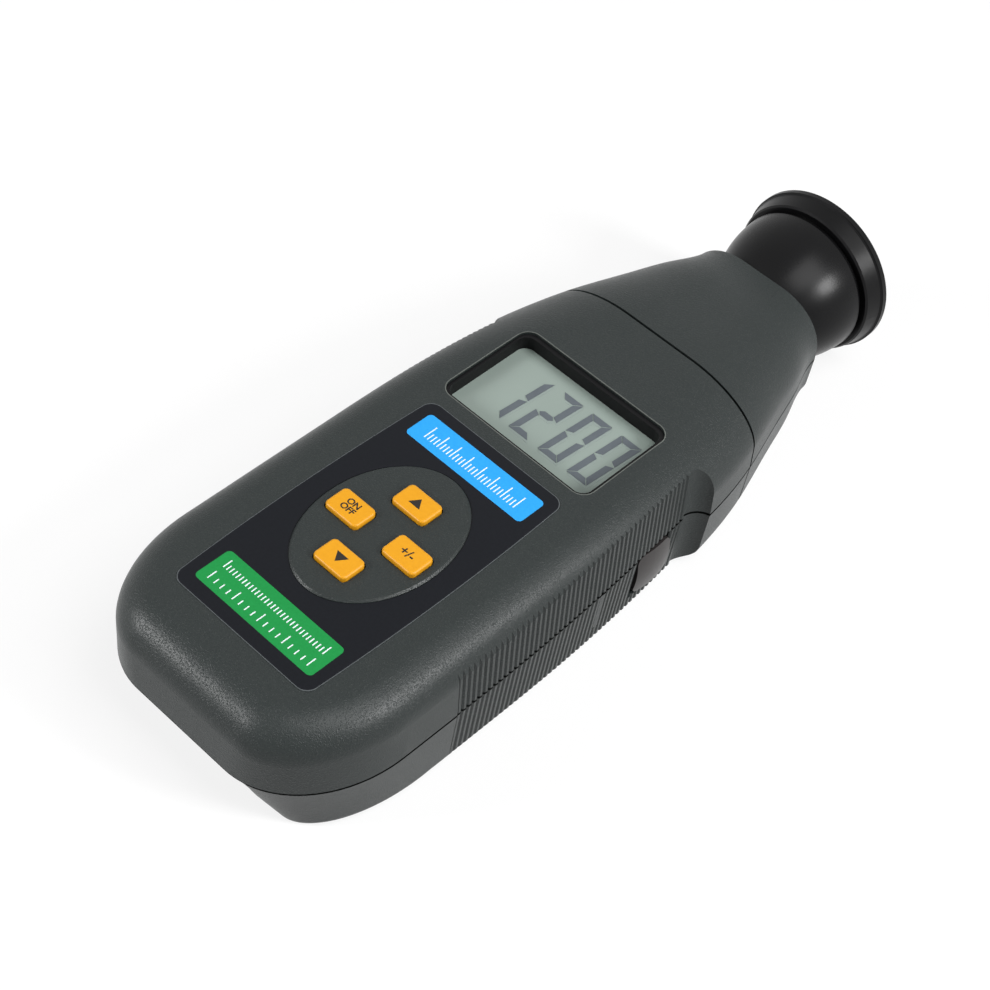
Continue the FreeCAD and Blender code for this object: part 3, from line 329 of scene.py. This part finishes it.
finishes = {
    "housing": housingPlastic(),
    "screw_steel": screwZinc(),
    "bell_black": bellBlack(),
    "ring_black": ringBlack(),
    "lamp_glass": clearGlass("lampGlass", (236, 243, 247), 0.015),
    "reflector_chrome": brightChrome(),
    "tube_glass": clearGlass("tubeGlass", (228, 236, 244), 0.03),
    "contact_nickel": contactNickel(),
    "holder_white": plainGrain("holderWhite", (206, 203, 195), (226, 223, 215), 700.0, 0.5, 0.15, 0.00003),
    "label_film": labelFilm(),
    "key_orange": plainGrain("keyOrange", (208, 142, 20), (218, 154, 30), 900.0, 0.34, 0.08, 0.00001),
    "mat_rubber": plainGrain("matRubber", (50, 50, 50), (64, 64, 64), 900.0, 0.6, 0.15, 0.00003),
    "board_green": plainGrain("boardGreen", (26, 84, 48), (36, 104, 60), 350.0, 0.35, 0.1, 0.00001),
    "bezel_black": plainGrain("bezelBlack", (8, 8, 9), (14, 14, 15), 1500.0, 0.42, 0.15, 0.00002, 0.14),
    "lcd_grey": displayGrey(),
    "button_brown": plainGrain("buttonBrown", (38, 35, 35), (48, 45, 44), 900.0, 0.3, 0.15, 0.00002),
    "cell_wrap": plainGrain("cellWrap", (186, 160, 84), (204, 178, 98), 60.0, 0.3, 0.1, 0.00001),
    "capacitor_sleeve": plainGrain("capacitorSleeve", (30, 40, 78), (40, 52, 96), 300.0, 0.3, 0.1, 0.00001),
    "transformer_tape": plainGrain("transformerTape", (190, 164, 60), (208, 182, 76), 200.0, 0.4, 0.1, 0.00001),
}


def inkBlack():
    return plainGrain("inkBlack", (22, 18, 14), (34, 28, 22), 1500.0, 0.5, 0.1, 0.00001)


inks = {
    "legend": inkBlack(),
    "digit": plainGrain("digitSlate", (80, 86, 92), (92, 99, 104), 400.0, 0.3, 0.1, 0.00001),
    # the paler slate is the painted shadow of the digits on the display glass
    "shade": plainGrain("digitShadowPaint", (127, 138, 134), (138, 149, 144), 400.0, 0.4, 0.1, 0.00001),
    "print": plainGrain("printWhite", (214, 222, 228), (232, 238, 242), 900.0, 0.45, 0.1, 0.00001),
}


def dressNodes():
    for part in frame["record"]["subparts"]:
        mesh = nodes[part["node"]].data
        mesh.materials.clear()
        mesh.materials.append(finishes[part["material_slot"]])


dressNodes()
print("stage: materials")

# Display digits: seven segments a digit, with their painted shadow, paler and offset, on the glass below

digitSet = {
    "text": "1200",
    "level": 36.1,
    "thick": 0.06,
    "left": -15.5,
    "foot": -4.2,
    "pitch": 9.2,
    "width": 6.2,
    "height": 18.0,
    "slant": 1.2,
    "bar": 1.7,
    "gap": 0.16,
    # offset of the painted digit shadow, in mm
    "shift": (0.55, -0.6),
}
lit = {"0": "abcdef", "1": "bc", "2": "abged"}


def segmentRing(name):
    # the corners of a segment in an upright digit, mitred where it meets the next one
    wide = digitSet["width"]
    high = digitSet["height"]
    bar = digitSet["bar"]
    gap = digitSet["gap"]
    half = high / 2
    if name == "g":
        return [(gap + bar / 2, half), (bar + gap, half + bar / 2), (wide - bar - gap, half + bar / 2),
                (wide - bar / 2 - gap, half), (wide - bar - gap, half - bar / 2), (bar + gap, half - bar / 2)]
    if name in "ad":
        ring = [(gap, high), (wide - gap, high), (wide - bar - gap, high - bar), (bar + gap, high - bar)]
    else:
        ring = [(wide, high - gap), (wide, half + gap), (wide - bar, half + gap + bar / 2),
                (wide - bar, high - bar - gap)]
    if name in "ef":
        ring = [(wide - x, y) for x, y in ring]
    if name in "cde":
        ring = [(x, high - y) for x, y in ring]
    return ring


def segmentOutline(name, left):
    # the same corners leaning to the right, in mm on the display
    corners = []
    for x, y in segmentRing(name):
        lean = digitSet["slant"] * y / digitSet["height"]
        corners.append((left + x + lean, digitSet["foot"] + y))
    area = sum(a[0] * b[1] - b[0] * a[1] for a, b in zip(corners, corners[1:] + corners[:1]))
    return corners if area > 0 else corners[::-1]


def flatPiece(name, outlines, level, thick, ink, body):
    # one object of thin plates, with its outlines in mm
    points = []
    faces = []
    for ring in outlines:
        first = len(points)
        points += [(x * mm, y * mm, level * mm) for x, y in ring]
        faces.append(tuple(range(first, first + len(ring))))
    mesh = bpy.data.meshes.new(name)
    mesh.from_pydata(points, [], faces)
    piece = bpy.data.objects.new(name, mesh)
    bpy.context.collection.objects.link(piece)
    bpy.context.view_layer.objects.active = piece
    piece.select_set(True)
    thickness = piece.modifiers.new("thickness", "SOLIDIFY")
    thickness.thickness = thick * mm
    thickness.offset = 1
    bpy.ops.object.modifier_apply(modifier=thickness.name)
    piece.select_set(False)
    mesh.materials.append(ink)
    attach(piece, body)
    return piece


def addDigits():
    outlines = []
    for index, digit in enumerate(digitSet["text"]):
        left = digitSet["left"] + index * digitSet["pitch"]
        outlines += [segmentOutline(name, left) for name in lit[digit]]
    shiftX, shiftY = digitSet["shift"]
    # painted shadow: paler copies of the segments, offset on the glass below the digits
    shadowRings = [[(x + shiftX, y + shiftY) for x, y in ring] for ring in outlines]
    flatPiece("paintedDigitShadows", shadowRings, digitSet["level"] + 0.01, 0.03, inks["shade"], "housing")
    flatPiece("digits", outlines, digitSet["level"] + 0.05, digitSet["thick"], inks["digit"], "housing")


addDigits()
print("stage: digits")

# Key legends, printed on the caps

legendSet = {"level": 42.3, "thick": 0.04, "size": 2.3, "arrow": 1.7}
keyPlaces = {
    "key_on_off": (-8.9, -52.4), "key_fine": (8.9, -52.4), "key_up": (0.0, -40.6), "key_down": (0.0, -64.2),
}


def wordPiece(name, words, place, size, level, thick, ink, body, spacing=0.85):
    bpy.ops.object.text_add()
    piece = bpy.context.object
    piece.name = name
    curve = piece.data
    curve.body = words
    curve.size = size * mm
    curve.align_x = "CENTER"
    curve.align_y = "CENTER"
    curve.space_line = spacing
    curve.extrude = thick * mm / 2
    curve.offset = 0.00005
    bpy.ops.object.convert(target="MESH")
    piece = bpy.context.object
    piece.location = (place[0] * mm, place[1] * mm, (level + thick / 2) * mm)
    bpy.ops.object.transform_apply(location=True, rotation=True, scale=True)
    piece.data.materials.clear()
    piece.data.materials.append(ink)
    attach(piece, body)
    deselectAll()
    return piece


def arrowOutline(x, y, way):
    reach = legendSet["arrow"]
    return [(x - reach, y - way * reach * 0.7), (x + reach, y - way * reach * 0.7), (x, y + way * reach * 0.8)]


def addLegends():
    level = legendSet["level"]
    thick = legendSet["thick"]
    ink = inks["legend"]
    x, y = keyPlaces["key_on_off"]
    wordPiece("legendOnOff", "ON\nOFF", (x, y), legendSet["size"], level, thick, ink, "key_on_off_body")
    x, y = keyPlaces["key_fine"]
    wordPiece("legendFine", "+/-", (x, y), legendSet["size"] * 1.4, level, thick, ink, "key_fine_body")
    for name, way in (("key_up", 1), ("key_down", -1)):
        ring = arrowOutline(*keyPlaces[name], way)
        if way < 0:
            ring.reverse()
        flatPiece(f"legend_{name}", [ring], level, thick, ink, f"{name}_body")


addLegends()
print("stage: legends")

# Tick scales on the coloured fields of the label

tickSet = {"level": 40.6, "thick": 0.03, "wide": 0.28}
scaleRows = {
    "blueTicks": {"y": -22.45, "reach": 14.0, "count": 29, "long": 4.2, "short": 2.2, "every": 4},
    "greenTicksHigh": {"y": -82.2, "reach": 15.5, "count": 32, "long": 2.6, "short": 1.5, "every": 31},
    "greenTicksLow": {"y": -86.6, "reach": 15.5, "count": 17, "long": 2.6, "short": 1.5, "every": 4},
}


def addTicks():
    half = tickSet["wide"] / 2
    for name, row in scaleRows.items():
        rings = []
        for index in range(row["count"]):
            x = -row["reach"] + 2 * row["reach"] * index / (row["count"] - 1)
            tall = row["long"] if index % row["every"] == 0 else row["short"]
            low = row["y"] - row["long"] / 2
            rings.append([(x - half, low), (x + half, low), (x + half, low + tall), (x - half, low + tall)])
        flatPiece(name, rings, tickSet["level"], tickSet["thick"], inks["print"], "housing")


addTicks()
print("stage: ticks")

# Floor, light and background

studioSet = {
    "rest": ((-97.0 * mm, 3.5 * mm), (109.0 * mm, 0.0)),  # (y, z) where butt and ring touch the floor
    "floorSize": 6.0,
    "world": 0.1,
    "floorShade": 0.36,
    "floorGlow": 1.92,
    "glowShare": 0.4,
}


def addFloor():
    (backY, backZ), (frontY, frontZ) = studioSet["rest"]
    tilt = math.atan2(frontZ - backZ, frontY - backY)
    drop = frontZ - math.tan(tilt) * frontY
    bpy.ops.mesh.primitive_plane_add(size=studioSet["floorSize"], location=(0, 0, drop - 0.0001),
                                     rotation=(tilt, 0, 0))
    floor = bpy.context.object
    floor.name = "floor"
    paint = Paint("floorWhite")
    ray = paint.tree.nodes.new("ShaderNodeLightPath")
    seen = Wire(paint, ray.outputs["Is Camera Ray"]).most(Wire(paint, ray.outputs["Is Glossy Ray"]))
    seen = seen.most(Wire(paint, ray.outputs["Is Transmission Ray"]))
    shade = studioSet["floorShade"]
    paint.set(Base_Color=(shade, shade, shade, 1.0), Roughness=0.9, Specular_IOR_Level=0.1)
    glow = paint.node("ShaderNodeEmission", values={"Color": (1, 1, 1, 1), "Strength": studioSet["floorGlow"]})
    share = seen * studioSet["glowShare"]
    mixed = paint.node("ShaderNodeMixShader", values={0: share, 1: Wire(paint, paint.shader.outputs[0]), 2: glow})
    paint.feed(paint.tree.nodes["Material Output"].inputs["Surface"], mixed)
    floor.data.materials.append(paint.material)


def addWorld():
    world = bpy.data.worlds.new("studio")
    bpy.context.scene.world = world
    world.use_nodes = True
    tree = world.node_tree
    background = tree.nodes["Background"]
    background.inputs["Color"].default_value = (1, 1, 1, 1)
    background.inputs["Strength"].default_value = studioSet["world"]
    bright = tree.nodes.new("ShaderNodeBackground")
    bright.inputs["Strength"].default_value = 1.0
    bright.inputs["Color"].default_value = (1, 1, 1, 1)
    ray = tree.nodes.new("ShaderNodeLightPath")
    mix = tree.nodes.new("ShaderNodeMixShader")
    either = tree.nodes.new("ShaderNodeMath")
    either.operation = "MAXIMUM"
    anySeen = tree.nodes.new("ShaderNodeMath")
    anySeen.operation = "MAXIMUM"
    tree.links.new(ray.outputs["Is Camera Ray"], either.inputs[0])
    tree.links.new(ray.outputs["Is Glossy Ray"], either.inputs[1])
    tree.links.new(either.outputs[0], anySeen.inputs[0])
    tree.links.new(ray.outputs["Is Transmission Ray"], anySeen.inputs[1])
    tree.links.new(anySeen.outputs[0], mix.inputs[0])
    tree.links.new(background.outputs[0], mix.inputs[1])
    tree.links.new(bright.outputs[0], mix.inputs[2])
    tree.links.new(mix.outputs[0], tree.nodes["World Output"].inputs["Surface"])


lampSet = (
    # name, direction from the object, distance, size, power
    ("topSoft", (0.48, 0.02, 0.95), 1.2, 0.7, 8.0),
    ("rightSoft", (0.8, 0.25, 0.54), 1.0, 0.28, 8.5),
    ("buttSoft", (-0.5, -0.72, 0.46), 1.0, 0.3, 7.5),
)


def addLamps():
    for name, direction, distance, width, power in lampSet:
        aim = Vector(direction).normalized()
        turn = aim.to_track_quat("Z", "Y").to_euler()
        bpy.ops.object.light_add(type="AREA", location=aim * distance, rotation=turn)
        lamp = bpy.context.object
        lamp.name = name
        lamp.data.size = width
        lamp.data.energy = power


addFloor()
addWorld()
addLamps()
print("stage: studio")

bpy.context.scene.view_settings.view_transform = "Standard"
